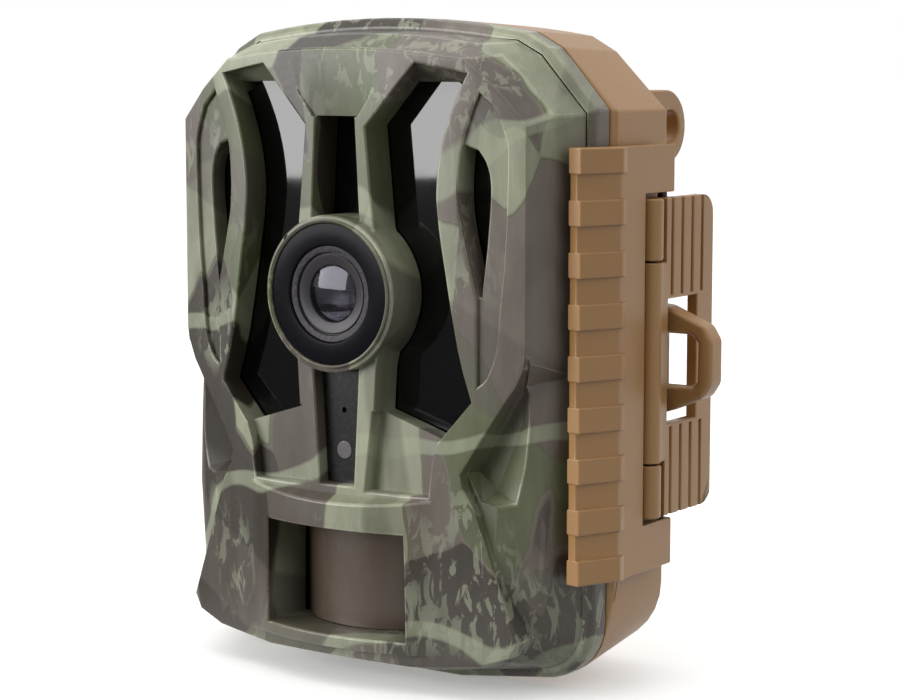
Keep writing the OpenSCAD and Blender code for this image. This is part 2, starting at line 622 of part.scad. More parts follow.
// an AA cell; every other one stands on its head
module cell(i) color([0.2, 0.35, 0.5]) seat() {
  up = i % 2 == 0;
  z1 = cell_z0 + cell_l;
  rod_z(cell_x(i), cell_y, cell_r, up ? cell_z0 : cell_z0 + 1.4, up ? z1 - 1.4 : z1);
  rod_z(cell_x(i), cell_y, 2.7, up ? z1 - 1.4 : cell_z0, up ? z1 : cell_z0 + 1.4);
}

module spring_contacts() color([0.8, 0.8, 0.8]) seat() for (i = [0:3]) {
  up = i % 2 == 0;
  h = up ? cell_z0 - tray_z0 - 1.6 : tray_z1 - 1.6 - cell_z0 - cell_l;
  translate([cell_x(i), cell_y, up ? tray_z0 + 1.6 : tray_z1 - 1.6]) scale([1, 1, up ? 1 : -1]) {
    box(-4, 4, -4, 4, 0, 0.35);
    cylinder(r = 3, h = 0.7);
    cylinder(r = 2, h = h);
  }
}

module plate_contacts() color([0.8, 0.8, 0.8]) seat() for (i = [0:3]) {
  up = i % 2 == 0;
  box(cell_x(i) - 4, cell_x(i) + 4, cell_y - 4, cell_y + 4,
      up ? cell_z0 + cell_l : tray_z0 + 1.6, up ? tray_z1 - 1.6 : cell_z0);
}

module gasket() color([0.1, 0.1, 0.1]) seat() difference() {
  slab(front_d - 0.05, front_d + 1.1) polygon(both(rim(1.05)));
  slab(front_d - 1, front_d + 2) polygon(both(rim(2.05)));
}

module hinge_pin() color([0.7, 0.7, 0.72]) seat()
  rod_z(hinge_x, hinge_y, pin_r, hinge_z0, hinge_z0 + 5 * hinge_step - gap);

module lever_pin() color([0.7, 0.7, 0.72]) seat()
  rod_z(lever_x, lever_y, lever_pin_r, lever_z0 + 0.4, lever_z1 - 0.4);

// lever: a middle knuckle, a grooved plate with a slot for the loop, and two link bosses
module lever() color([0.55, 0.43, 0.32]) seat() difference() {
  union() {
    rod_z(lever_x, lever_y, lever_r, knuckle_z0, knuckle_z1);
    box(plate_in, plate_out, lever_y + 0.4, lever_y + 3, knuckle_z0, knuckle_z1);
    box(plate_in, plate_out, lever_y + lever_r + 0.5, plate_y1 - 3, lever_z0, lever_z1);
    box(plate_in, plate_out, lever_y + 5, plate_y1, lever_z0 + 3, lever_z1 - 3);
    for (z = [lever_z0 + 3, lever_z1 - 3]) translate([plate_in, plate_y1 - 3, z])
      rotate([0, 90, 0]) cylinder(r = 3, h = plate_out - plate_in);
    for (z = [lever_z0, lever_z1 - 4.4])
      box(side_x + 0.5, plate_out, lever_y + lever_r + 0.5, link_y + link_r + 1.2, z, z + 4.4);
  }
  box(0, 99, slot_y, slot_y1, loop_z - slot_h / 2, loop_z + slot_h / 2);
  for (i = [0:3]) for (z = [[lever_z0, loop_z - slot_h / 2 - 1.6], [loop_z + slot_h / 2 + 1.6, lever_z1]])
    box(plate_out - 0.5, 99, lever_y + 4 + 3.2 * i, lever_y + 4.7 + 3.2 * i, z[0] - 1, z[1] + 1);
  rod_z(lever_x, lever_y, lever_pin_r + run, 0, case_h);
  for (z = [lever_z0 - 1, lever_z1 - 3]) rod_z(link_x, link_y, link_r, z, z + 4);
}

// hook: a side plate with a notch for the lever and a sloped, ribbed lip over the front rim
module hook() color([0.55, 0.43, 0.32]) seat() difference() {
  union() {
    translate([0, 0, hook_z0]) linear_extrude(hook_h)
      polygon([[hook_x, front_d - 1.8], [hook_x + 0.3, link_y + link_r + 1.2],
               [hook_x + hook_t, link_y + link_r + 1.2], [hook_x + hook_t, front_d - 2.9],
               [hook_x + hook_t - 3.6, front_d - 9.6], [hook_x - 2.9, front_d - 8.8]]);
    for (i = [0:rib_count - 1])
      translate([0, 0, hook_z0 + i * (hook_h - rib_h) / (rib_count - 1)]) linear_extrude(rib_h)
        polygon([[hook_x + hook_t - 0.5, front_d - 0.9], [hook_x + hook_t + 0.15, front_d - 1.2],
                 [hook_x + hook_t + 0.5, front_d - 2.9], [hook_x + hook_t - 2.7, front_d - 10],
                 [hook_x - 2.9, front_d - 9.4], [hook_x - 2, front_d - 8]]);
  }
  box(0, 99, lever_y - lever_r - 0.6, 99, lever_z0 - 0.8, lever_z1 + 0.8);
  rod_z(link_x, link_y, link_r + run, 0, case_h);
}

module hook_pins() color([0.7, 0.7, 0.72]) seat() {
  rod_z(link_x, link_y, link_r, lever_z0 - arm_h + 0.8, lever_z0 + 2.9);
  rod_z(link_x, link_y, link_r, lever_z1 - 2.9, lever_z1 + arm_h - 0.8);
}

rear_shell();
ear_right();
ear_left();
padlock_loop();
tripod_insert();
battery_tray();
tray_screws();
cell(0);  // cell_1
cell(1);  // cell_2
cell(2);  // cell_3
cell(3);  // cell_4
spring_contacts();
plate_contacts();
gasket();
hinge_pin();
lever();
lever_pin();
hook();
hook_pins();
front_shell();
ir_window();
sensor_tongue();
led_board();
ir_leds();
lens_ring();
lens_shroud();
lens_glass();
lens_holder();
pir_lens();
pir_sensor();
mic();
light_pipe();
main_board();
lcd();
inner_panel();
panel_screws();
button(0);  // btn_up
button(1);  // btn_down
button(2);  // btn_left
button(3);  // btn_right
button(4);  // btn_ok
tact_switches();
mode_switch();
sd_card();
sd_socket();
usb_socket();
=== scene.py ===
import json
import math

import bmesh
import bpy
import numpy as np
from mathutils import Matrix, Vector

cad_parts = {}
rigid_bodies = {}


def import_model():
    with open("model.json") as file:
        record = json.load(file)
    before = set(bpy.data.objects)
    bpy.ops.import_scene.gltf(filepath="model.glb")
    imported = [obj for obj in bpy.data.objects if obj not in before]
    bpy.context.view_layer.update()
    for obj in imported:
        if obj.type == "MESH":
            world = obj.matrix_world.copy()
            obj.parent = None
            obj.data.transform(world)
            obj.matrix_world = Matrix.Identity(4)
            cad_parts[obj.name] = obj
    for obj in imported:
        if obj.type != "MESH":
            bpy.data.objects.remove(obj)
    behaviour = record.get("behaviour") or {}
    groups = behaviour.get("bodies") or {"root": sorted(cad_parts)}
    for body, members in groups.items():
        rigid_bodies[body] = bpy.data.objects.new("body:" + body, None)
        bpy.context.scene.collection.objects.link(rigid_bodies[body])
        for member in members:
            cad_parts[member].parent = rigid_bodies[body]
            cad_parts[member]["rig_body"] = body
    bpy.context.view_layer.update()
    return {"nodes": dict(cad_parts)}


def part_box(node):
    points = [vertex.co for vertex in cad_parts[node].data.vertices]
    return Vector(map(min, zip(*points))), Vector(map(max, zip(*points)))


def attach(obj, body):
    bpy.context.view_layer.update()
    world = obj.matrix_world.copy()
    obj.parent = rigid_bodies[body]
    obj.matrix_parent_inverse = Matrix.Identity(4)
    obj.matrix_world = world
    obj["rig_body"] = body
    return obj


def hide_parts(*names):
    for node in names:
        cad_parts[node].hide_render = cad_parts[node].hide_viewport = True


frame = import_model()


# Rear shell: the tan half of the weatherproof case, moulded in one shot of ABS with a wall of about
# 2 mm. Its outside comes from a spark-eroded mould, so it is satin, with softly rounded edges.
MM = 0.001


def linear(code):
    """sRGB hex code to a linear RGBA colour."""
    channels = np.array([int(code[i:i + 2], 16) for i in (1, 3, 5)]) / 255
    curve = np.where(channels <= 0.04045, channels / 12.92, ((channels + 0.055) / 1.055) ** 2.4)
    return (*curve.tolist(), 1.0)


def add(tree, kind, inputs=None, **settings):
    """Adds one node with its settings; each input is a value for a socket or an output to link to it."""
    node = tree.nodes.new(kind)
    for name, value in settings.items():
        setattr(node, name, value)
    for name, value in (inputs or {}).items():
        if isinstance(value, bpy.types.NodeSocket):
            tree.links.new(value, node.inputs[name])
        else:
            node.inputs[name].default_value = value
    return node


def stops(node, *colours):
    """Fills a colour ramp from (position, hex code) pairs."""
    ramp = node.color_ramp
    while len(ramp.elements) < len(colours):
        ramp.elements.new(0.5)
    for element, (position, code) in zip(ramp.elements, colours):
        element.position, element.color = position, linear(code)
    return node


def new_material(name):
    """A node material with only its output, and its surface socket and Object coordinates ready."""
    material = bpy.data.materials.new(name)
    material.use_nodes = True
    tree = material.node_tree
    tree.nodes.clear()
    output = add(tree, "ShaderNodeOutputMaterial")
    place = add(tree, "ShaderNodeTexCoord").outputs["Object"]
    return material, tree, output.inputs["Surface"], place


def moulded_plastic(name, dark, light, grain_mm, roughness, relief=0.35, patch_mm=22, spread=0.05, **sockets):
    """Moulded plastic: slow colour drift between two tones, and a fine grain in gloss and relief."""
    material, tree, surface, place = new_material(name)
    drift = add(tree, "ShaderNodeTexNoise",
                {"Vector": place, "Scale": 1 / (patch_mm * MM), "Detail": 3.0, "Roughness": 0.6})
    tone = stops(add(tree, "ShaderNodeValToRGB", {"Fac": drift.outputs["Fac"]}), (0.3, dark), (0.7, light))
    grain = add(tree, "ShaderNodeTexNoise",
                {"Vector": place, "Scale": 1 / (grain_mm * MM), "Detail": 2.0, "Roughness": 0.65})
    gloss = add(tree, "ShaderNodeMapRange",
                {"Value": grain.outputs["Fac"], "From Min": 0.25, "From Max": 0.75,
                 "To Min": roughness - spread, "To Max": roughness + spread})
    bumps = add(tree, "ShaderNodeBump",
                {"Height": grain.outputs["Fac"], "Strength": relief, "Distance": 0.06 * MM})
    shader = add(tree, "ShaderNodeBsdfPrincipled",
                 {"Base Color": tone.outputs["Color"], "Roughness": gloss.outputs["Result"],
                  "Normal": bumps.outputs["Normal"], "IOR": 1.53,
                  **{key.replace("_", " "): value for key, value in sockets.items()}})
    tree.links.new(shader.outputs["BSDF"], surface)
    return material


def paint(piece, *materials):
    """Gives a piece its finishes: one for all of its slots, or one for each slot in turn."""
    if not piece.data.materials:
        for material in materials:
            piece.data.materials.append(material)
    for slot, material in zip(piece.material_slots, materials * len(piece.material_slots)):
        slot.material = material


def place_piece(name, mesh, body, nodes=()):
    """Links a mesh as a piece of a body and the CAD nodes that it stands for."""
    piece = bpy.data.objects.new(name, mesh)
    bpy.context.scene.collection.objects.link(piece)
    if nodes:
        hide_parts(*nodes)
    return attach(piece, body)


ROUND_SHARE = 0.45  # share of a face or side that one rounding may take, so that two never meet


def edge_room(edge):
    """Room for a rounding beside an edge: a share of the least height over it among the sides that leave
    its ends, apart from a side that runs on past an end."""
    room = math.inf
    runs_on = math.radians(140)
    for face in edge.link_faces:
        for tip in edge.verts:
            along = (edge.other_vert(tip).co - tip.co).normalized()
            for side in face.edges:
                if side is not edge and tip in side.verts:
                    away = side.other_vert(tip).co - tip.co
                    opening = away.angle(along, 0.0)
                    if opening < runs_on:
                        room = min(room, away.length * math.sin(min(opening, math.pi / 2)))
    return ROUND_SHARE * room


def moulded(node, radius, material, segments=3, angle=14, highlight_finish=None):
    """A copy of a CAD node with its flat faces joined and its outer edges rounded, with a lighter finish on
    the roundings if given, which is a painted highlight along the edges.
    Each rounding keeps to the room beside its edge, and inner corners stay crisp."""
    weld = 0.002 * MM
    flat, crisp = math.radians(0.8), math.radians(angle)
    least_share = 0.1
    solid = bmesh.new()
    solid.from_mesh(frame["nodes"][node].data)
    bmesh.ops.remove_doubles(solid, verts=solid.verts, dist=weld)
    bmesh.ops.dissolve_limit(solid, angle_limit=flat, verts=solid.verts, edges=solid.edges)
    share = solid.edges.layers.float.new("bevel_weight_edge")
    for edge in solid.edges:
        fold = edge.calc_face_angle_signed(0.0)
        if fold > crisp:
            edge[share] = min(1.0, edge_room(edge) / (radius * MM))
        edge.smooth = abs(fold) < crisp or edge[share] > least_share
    bmesh.ops.connect_verts_concave(solid, faces=solid.faces)
    for face in solid.faces:
        face.smooth = True
    mesh = bpy.data.meshes.new(node + "_moulded")
    solid.to_mesh(mesh)
    solid.free()
    piece = place_piece(node + "_moulded", mesh, frame["nodes"][node]["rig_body"], [node])
    rounding = piece.modifiers.new("edge_radius", "BEVEL")
    rounding.width, rounding.segments = radius * MM, segments
    rounding.limit_method = "WEIGHT"
    rounding.use_clamp_overlap = False
    flats = piece.modifiers.new("flat_faces", "WEIGHTED_NORMAL")
    flats.keep_sharp, flats.weight = True, 60
    paint(piece, material)
    # The second finish paints a highlight on the roundings.
    if highlight_finish:
        mesh.materials.append(highlight_finish)
        rounding.material = 1


# Satin ABS: an even tan with a dull sheen, and a grain of about 0.5 mm that breaks up the highlight.
tan_abs = moulded_plastic("satin_tan_abs", "#9C7446", "#A37A4A", 0.5, 0.4)
moulded("rear_shell", 0.4, tan_abs)


# Ears and padlock loop: tan ABS lugs on the back and side of the rear shell, for a cable or strap and
# for a padlock through the closed lever. They are part of the same moulding, with rounded rims.
for lug, radius in (("ear_right", 0.45), ("ear_left", 0.45), ("padlock_loop", 0.7)):
    moulded(lug, radius, tan_abs)


# Tripod insert: a turned brass bush with a 1/4 inch thread of 20 turns to the inch, pressed into the
# bottom of the rear shell. Turning leaves fine rings that stretch the highlight.
WAVE_REPEAT = 0.314  # length over which a wave texture of scale 1 repeats


def metal(name, dark, light, roughness, ring_mm=0.3, patch_mm=6):
    """Bare metal: tone and roughness drift a little, with fine tool rings in the relief."""
    material, tree, surface, place = new_material(name)
    drift = add(tree, "ShaderNodeTexNoise",
                {"Vector": place, "Scale": 1 / (patch_mm * MM), "Detail": 4.0, "Roughness": 0.6})
    tone = stops(add(tree, "ShaderNodeValToRGB", {"Fac": drift.outputs["Fac"]}), (0.3, dark), (0.7, light))
    gloss = add(tree, "ShaderNodeMapRange",
                {"Value": drift.outputs["Fac"], "From Min": 0.3, "From Max": 0.7,
                 "To Min": roughness - 0.06, "To Max": roughness + 0.06})
    rings = add(tree, "ShaderNodeTexWave",
                {"Vector": place, "Scale": WAVE_REPEAT / (ring_mm * MM), "Distortion": 1.0},
                bands_direction="Z")
    bumps = add(tree, "ShaderNodeBump",
                {"Height": rings.outputs["Fac"], "Strength": 0.25, "Distance": 0.02 * MM})
    shader = add(tree, "ShaderNodeBsdfPrincipled",
                 {"Base Color": tone.outputs["Color"], "Roughness": gloss.outputs["Result"],
                  "Normal": bumps.outputs["Normal"], "Metallic": 1.0})
    tree.links.new(shader.outputs["BSDF"], surface)
    return material


def softened(corners, radius, steps=4):
    """Rounds each corner of an open line: a parabola from a radius before the corner to one after it."""
    line = np.asarray(corners, float)
    before, tip, after = line[:-2], line[1:-1], line[2:]
    sides = [np.linalg.norm(other - tip, axis=1)[:, None] for other in (before, after)]
    reach = [np.minimum(radius, ROUND_SHARE * side) / np.maximum(side, 1e-9) for side in sides]
    first, last = tip + (before - tip) * reach[0], tip + (after - tip) * reach[1]
    t = np.linspace(0, 1, steps)[None, :, None]
    curve = (1 - t) ** 2 * first[:, None] + 2 * t * (1 - t) * tip[:, None] + t ** 2 * last[:, None]
    return np.vstack([line[:1], curve.reshape(-1, 2), line[-1:]])


def ring_quads(rings, sides, start=0):
    """Faces between rings of points: each joins a point, the next one round, and the same two a ring on."""
    row, column = np.meshgrid(np.arange(rings - 1), np.arange(sides), indexing="ij")
    beside = (column + 1) % sides
    return start + np.stack([row * sides + column, row * sides + beside,
                             (row + 1) * sides + beside, (row + 1) * sides + column], -1).reshape(-1, 4)


def smooth_mesh(name, points, faces, slots=None):
    """Mesh from points in millimetres, with points that meet merged, every face turned outwards and smooth
    shading. Slots gives each face its material."""
    weld = 0.0005 * MM
    mesh = bpy.data.meshes.new(name)
    mesh.from_pydata(points.reshape(-1, 3) * MM, [], faces)
    if slots is not None:
        mesh.polygons.foreach_set("material_index", slots)
    solid = bmesh.new()
    solid.from_mesh(mesh)
    bmesh.ops.remove_doubles(solid, verts=solid.verts, dist=weld)
    bmesh.ops.recalc_face_normals(solid, faces=solid.faces)
    solid.to_mesh(mesh)
    solid.free()
    mesh.shade_smooth()
    return mesh


def turned(name, profile, centre, axis, sides=96, swell=None, bands=None):
    """Mesh of a profile carried round an axis: point (radius, distance) at angle a lies at
    centre + distance * axis + radius * (cos a, sin a). Swell adds to the radius; bands are material slots."""
    crisp = math.radians(35)
    radius, distance = np.asarray(profile, float).T
    turn = np.linspace(0, 2 * np.pi, sides, endpoint=False)
    axis = np.asarray(axis, float)
    across = np.roll(axis, 1)
    spokes = np.cos(turn)[:, None] * across + np.sin(turn)[:, None] * np.cross(axis, across)
    reach = np.repeat(radius[:, None], sides, 1) + (0 if swell is None else swell(turn, distance[:, None]))
    points = np.asarray(centre, float) + distance[:, None, None] * axis + reach[..., None] * spokes
    slots = None if bands is None else np.repeat(bands, sides)
    mesh = smooth_mesh(name, points, ring_quads(len(radius), sides).tolist(), slots)
    mesh.set_sharp_from_angle(angle=crisp)
    return mesh


def thread(turn, height):
    """Inner thread: the bore's radius falls by the depth and rises again once in each pitch, along a slanted
    wave with flat crests and roots."""
    pitch, depth = 1.27, 0.5
    first, last = 0.3, 7.8
    wave = np.abs(((height / pitch - turn / (2 * np.pi)) % 1) * 2 - 1)
    flank = np.clip(1.3 * wave - 0.15, 0, 1)
    return np.where((height > first) & (height < last), -depth * flank, 0)


# Turned brass: a warm yellow, with a highlight drawn out by fine rings.
brass = metal("turned_brass", "#A98546", "#CDAA64", 0.28, ring_mm=0.25)
low, high = (np.array(corner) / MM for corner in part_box("tripod_insert"))
bush_r, bore_r = (high[0] - low[0]) / 2, 3.6
rim_z, bore_foot, bore_end = 0.02, 0.35, 7.9
bore_z = np.linspace(bore_foot, bore_end, 97)
bore = np.column_stack([np.full(len(bore_z), bore_r), bore_z])
outside = softened([(0, high[2]), (bush_r, high[2]), (bush_r, rim_z), (bore_r + 0.4, rim_z),
                    (bore_r + 0.05, bore_foot)], 0.2)
bush = np.vstack([outside, bore, [(0, bore_end)]])
in_bore = np.isclose(bush[:, :1], bore_r)
insert = turned("tripod_insert_turned", bush, (0, 0, 0), (0, 0, 1), sides=72,
                swell=lambda turn, height: np.where(in_bore, thread(turn, height), 0))
paint(place_piece("tripod_insert_turned", insert, "back", ["tripod_insert"]), brass)


# Battery tray and contacts: a black ABS tray screwed to the rear shell, with pressed plates and cone
# springs of nickel-plated steel.
# Black ABS: nearly black, with a wide dull sheen.
black_abs = moulded_plastic("satin_black_abs", "#161617", "#1F1F20", 0.4, 0.5)
moulded("battery_tray", 0.3, black_abs, segments=2)
# Nickel plating: a light grey metal with a fairly sharp shine.
nickel = metal("nickel_plated_steel", "#A9ABAF", "#CFD1D4", 0.25, ring_mm=0.3)
paint(frame["nodes"]["plate_contacts"], nickel)
# Zinc plating: a bluish grey, a little darker and duller than nickel.
steel = metal("zinc_plated_steel", "#9A9CA0", "#C3C5C8", 0.3, ring_mm=0.2)
paint(frame["nodes"]["tray_screws"], steel)


def coil(centre, wide, narrow, height, turns, wire, sides=8, steps=180):
    """Points of a cone spring: a ring of wire carried along a helix that narrows as it climbs."""
    t = np.linspace(0, 1, steps)
    turn = 2 * np.pi * turns * t
    out = np.column_stack([np.cos(turn), np.sin(turn), np.zeros(steps)])
    path = np.asarray(centre) + out * (wide + (narrow - wide) * t)[:, None] + np.outer(height * t, (0, 0, 1))
    ring = np.linspace(0, 2 * np.pi, sides, endpoint=False)
    wall = np.cos(ring)[None, :, None] * out[:, None] + np.sin(ring)[None, :, None] * np.array([0, 0, 1.0])
    return path[:, None] + wire * wall


def tubes(name, rings):
    """Mesh of tubes with capped ends, from arrays of rings of points."""
    points, faces = [], []
    for tube in rings:
        steps, sides = tube.shape[:2]
        start = sum(len(block) for block in points)
        caps = [list(range(start + sides - 1, start - 1, -1)),
                list(range(start + (steps - 1) * sides, start + steps * sides))]
        points.append(tube.reshape(-1, 3))
        faces += ring_quads(steps, sides, start).tolist() + caps
    return smooth_mesh(name, np.vstack(points), faces)


cells = [[np.array(corner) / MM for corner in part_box(f"cell_{i}")] for i in (1, 2, 3, 4)]
low, high = (np.array(corner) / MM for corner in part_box("spring_contacts"))
wire_r, foot_r, spring_r, tip_r = 0.28, 3.6, 3.0, 1.6
stand_off, foot_rise = 0.3, 0.02
springs = []
for i, (bottom, top) in enumerate(cells):
    x, y = (bottom[:2] + top[:2]) / 2
    foot, rise = (low[2], bottom[2] - low[2]) if i % 2 == 0 else (high[2], top[2] - high[2])
    lift = stand_off * np.sign(rise)
    springs.append(coil((x, y, foot + lift), spring_r, tip_r, rise - 2 * lift, turns=2.5, wire=wire_r))
    springs.append(coil((x, y, foot + lift), foot_r, spring_r, foot_rise, turns=1.0, wire=wire_r, steps=60))
paint(place_piece("spring_contacts_coiled", tubes("spring_contacts_coiled", springs), "back",
                  ["spring_contacts"]), nickel)


# Cells: four AA cells, each a drawn steel can in a plain printed sleeve, laid in the tray in turns so
# that every other one stands upside down. Both ends are bare nickel.
# Printed sleeve: a smooth, shiny film in a dull blue.
sleeve = moulded_plastic("printed_cell_sleeve", "#33414B", "#3D4D58", 0.6, 0.3, relief=0.05)
# Printed band: the same film in pale grey.
band = moulded_plastic("printed_cell_band", "#8F9699", "#A5ACAE", 0.6, 0.3, relief=0.05)
band_low, band_high = 38, 40.5
bare_r, bare_foot, bare_cap = 6.5, 0.5, 1.55
for i, (bottom, top) in enumerate(cells):
    x, y = (bottom[:2] + top[:2]) / 2
    r, length = (top[0] - bottom[0]) / 2, top[2] - bottom[2]
    can = softened([(0, 0.1), (4.2, 0.1), (4.5, 0), (6.3, 0), (6.6, 0.35), (r, 0.6), (r, 1.2),
                    (r, band_low), (r, band_high), (r, length - 2.2), (r - 0.5, length - 1.4),
                    (4.2, length - 1.45), (3.1, length - 1.5), (2.65, length - 1.3),
                    (2.65, length - 0.15), (2.3, length), (0, length)], 0.3, steps=3)
    middle = (can[:-1] + can[1:]) / 2
    bare = (middle[:, 0] < bare_r) & ((middle[:, 1] < bare_foot) | (middle[:, 1] > length - bare_cap))
    pale_band = (middle[:, 1] > band_low) & (middle[:, 1] < band_high)
    bands = np.where(bare, 2, np.where(pale_band, 1, 0))
    up = i % 2 == 0
    base, axis = (x, y, bottom[2] if up else top[2]), (0, 0, 1 if up else -1)
    mesh = turned(f"cell_{i + 1}_sleeved", can, base, axis, sides=64, bands=bands)
    paint(place_piece(f"cell_{i + 1}_sleeved", mesh, "back", [f"cell_{i + 1}"]), sleeve, band, nickel)


# Gasket and pins: a black silicone cord in the groove of the rear shell, and steel pins through the
# knuckles of the hinge, the lever and the hook.
# Silicone: a soft black with no clear highlight.
silicone = moulded_plastic("black_silicone", "#121212", "#1B1B1B", 0.7, 0.6, relief=0.15)
moulded("gasket", 0.3, silicone, segments=2)
# Black oxide: a dark, slightly brown steel with a dull sheen.
black_oxide = metal("black_oxide_steel", "#2B2927", "#3B3835", 0.42, ring_mm=0.2)
for pin in ("hinge_pin", "lever_pin", "hook_pins"):
    paint(frame["nodes"][pin], black_oxide)


# Latch: a tan ABS lever on the side of the case and the ribbed hook that it pulls over the front rim.
# Both are moulded in the shell's colour and turn on steel pins.
moulded("lever", 0.25, tan_abs)
moulded("hook", 0.35, tan_abs)


# Front shell: the door, one ABS moulding with rim, flared walls, skeleton bezel, lens barrel and sensor
# frame. Its outside carries a water-transfer camouflage film under a dull lacquer.
def camouflage_film(name, lift, roughness):
    """Woodland print: slanted shards of sage, green, taupe and brown, and over them in turn shade, trunks,
    leaf flecks, pale twigs and dark branches, with streaks like bark. Lift brightens it all."""
    shard_mm, warp_mm, shade_mm, grove_mm = 16.129, 14.286, 18.182, 29.412
    trunk_mm, twig_mm, branch_mm = 52.333, 34.889, 44.857
    fleck_mm, bark_mm, grain_mm = 2.381, 2.381, 0.5556
    bend = 0.007
    material, tree, surface, place = new_material(name)

    def strokes(spacing_mm, tilt, swing, waver, detail, finer, shift=0.0):
        """Long strokes at a slant: bands across a turned axis, bent by a noise with finer detail."""
        path = add(tree, "ShaderNodeMapping",
                   {"Vector": place, "Rotation": (0.0, math.radians(tilt), math.radians(swing)),
                    "Location": (shift, 0.0, 0.0)})
        bands = add(tree, "ShaderNodeTexWave",
                    {"Vector": path.outputs["Vector"], "Scale": WAVE_REPEAT / (spacing_mm * MM),
                     "Distortion": waver, "Detail": detail, "Detail Scale": finer})
        return bands.outputs["Fac"]

    def printed(below, pattern, begin, full, cover, colour):
        """One layer of the print: none where the pattern is below one value, and its cover above another."""
        edge = stops(add(tree, "ShaderNodeValToRGB", {"Fac": pattern}), (begin, "#000000"), (full, cover))
        layer = add(tree, "ShaderNodeMix",
                    {"Factor": edge.outputs["Color"], "A": below, "B": linear(colour)}, data_type="RGBA")
        return layer.outputs[2]

    slant = add(tree, "ShaderNodeMapping",
                {"Vector": place, "Rotation": (0.0, math.radians(34), math.radians(12)),
                 "Scale": (1.0, 0.8, 0.48), "Location": (0.2, 0.04, 0.11)})
    warp = add(tree, "ShaderNodeTexNoise",
               {"Vector": slant.outputs["Vector"], "Scale": 1 / (warp_mm * MM), "Detail": 2.0})
    bent = add(tree, "ShaderNodeVectorMath",
               {0: warp.outputs["Color"], 1: (bend, bend, bend), 2: slant.outputs["Vector"]},
               operation="MULTIPLY_ADD")
    shard = add(tree, "ShaderNodeTexVoronoi",
                {"Vector": bent.outputs["Vector"], "Scale": 1 / (shard_mm * MM), "Smoothness": 0.06},
                feature="SMOOTH_F1")
    pick = add(tree, "ShaderNodeSeparateColor", {"Color": shard.outputs["Color"]})
    base = stops(add(tree, "ShaderNodeValToRGB", {"Fac": pick.outputs["Red"]}),
                 (0.14, "#3A332B"), (0.20, "#5F574E"), (0.46, "#726960"), (0.50, "#54593F"),
                 (0.64, "#666C50"), (0.72, "#7D8168"), (0.88, "#8F917A"))
    shade = add(tree, "ShaderNodeTexNoise",
                {"Vector": bent.outputs["Vector"], "Scale": 1 / (shade_mm * MM), "Detail": 4.0,
                 "Roughness": 0.6})
    shaded = printed(base.outputs["Color"], shade.outputs["Fac"], 0.48, 0.66, "#B8B8B8", "#453E35")
    trunks = strokes(trunk_mm, 62, -25, 2.4, 2.0, 0.8, shift=0.034)
    trunked = printed(shaded, trunks, 0.88, 0.91, "#D0D0D0", "#5A514A")

    leaf_path = add(tree, "ShaderNodeMapping",
                    {"Vector": place, "Rotation": (0.0, math.radians(-24), 0.0), "Scale": (1.0, 1.0, 0.42)})
    fleck = add(tree, "ShaderNodeTexNoise",
                {"Vector": leaf_path.outputs["Vector"], "Scale": 1 / (fleck_mm * MM), "Detail": 4.0,
                 "Roughness": 0.6, "Distortion": 0.9})
    fleck_edge = stops(add(tree, "ShaderNodeValToRGB", {"Fac": fleck.outputs["Fac"]}),
                       (0.52, "#000000"), (0.56, "#FFFFFF"))
    grove = add(tree, "ShaderNodeTexNoise", {"Vector": place, "Scale": 1 / (grove_mm * MM), "Detail": 2.0})
    grove_edge = stops(add(tree, "ShaderNodeValToRGB", {"Fac": grove.outputs["Fac"]}),
                       (0.52, "#000000"), (0.60, "#C0C0C0"))
    leaf = add(tree, "ShaderNodeMath",
               {0: fleck_edge.outputs["Color"], 1: grove_edge.outputs["Color"]}, operation="MULTIPLY")
    leafy = add(tree, "ShaderNodeMix",
                {"Factor": leaf.outputs["Value"], "A": trunked, "B": linear("#969A84")}, data_type="RGBA")

    twigs = strokes(twig_mm, -58, 20, 6.0, 3.0, 1.4)
    twigged = printed(leafy.outputs[2], twigs, 0.982, 0.990, "#C8C8C8", "#9DA389")
    branches = strokes(branch_mm, 24, -15, 7.0, 3.0, 1.1)
    branched = printed(twigged, branches, 0.955, 0.985, "#A0A0A0", "#3A332B")
    bark_path = add(tree, "ShaderNodeMapping",
                    {"Vector": place, "Rotation": (0.0, math.radians(24), 0.0), "Scale": (1.0, 1.0, 0.16)})
    bark = add(tree, "ShaderNodeTexNoise",
               {"Vector": bark_path.outputs["Vector"], "Scale": 1 / (bark_mm * MM), "Detail": 4.0,
                "Roughness": 0.65})
    streak = add(tree, "ShaderNodeMapRange",
                 {"Value": bark.outputs["Fac"], "From Min": 0.3, "From Max": 0.7,
                  "To Min": 0.86 * lift, "To Max": 1.12 * lift})
    toned = add(tree, "ShaderNodeVectorMath", {0: branched, 1: streak.outputs["Result"]},
                operation="MULTIPLY")

    grain = add(tree, "ShaderNodeTexNoise",
                {"Vector": place, "Scale": 1 / (grain_mm * MM), "Detail": 3.0, "Roughness": 0.6})
    bumps = add(tree, "ShaderNodeBump",
                {"Height": grain.outputs["Fac"], "Strength": 0.2, "Distance": 0.05 * MM})
    gloss = add(tree, "ShaderNodeMapRange",
                {"Value": grain.outputs["Fac"], "From Min": 0.3, "From Max": 0.7,
                 "To Min": roughness - 0.05, "To Max": roughness + 0.05})
    shader = add(tree, "ShaderNodeBsdfPrincipled",
                 {"Base Color": toned.outputs["Vector"], "Roughness": gloss.outputs["Result"],
                  "Normal": bumps.outputs["Normal"], "IOR": 1.5})
    tree.links.new(shader.outputs["BSDF"], surface)
    return material


# Lacquered film: patches of green and brown that break up the outline, with a satin sheen.
camo = camouflage_film("water_transfer_camouflage", 1.0, 0.39)
# On the edge roundings the film is painted lighter and glossier. This painted highlight draws a pale line
# along each edge.
camo_edge_highlight = camouflage_film("camouflage_painted_edge_highlight", 1.3, 0.3)
moulded("front_shell", 0.4, camo, highlight_finish=camo_edge_highlight)


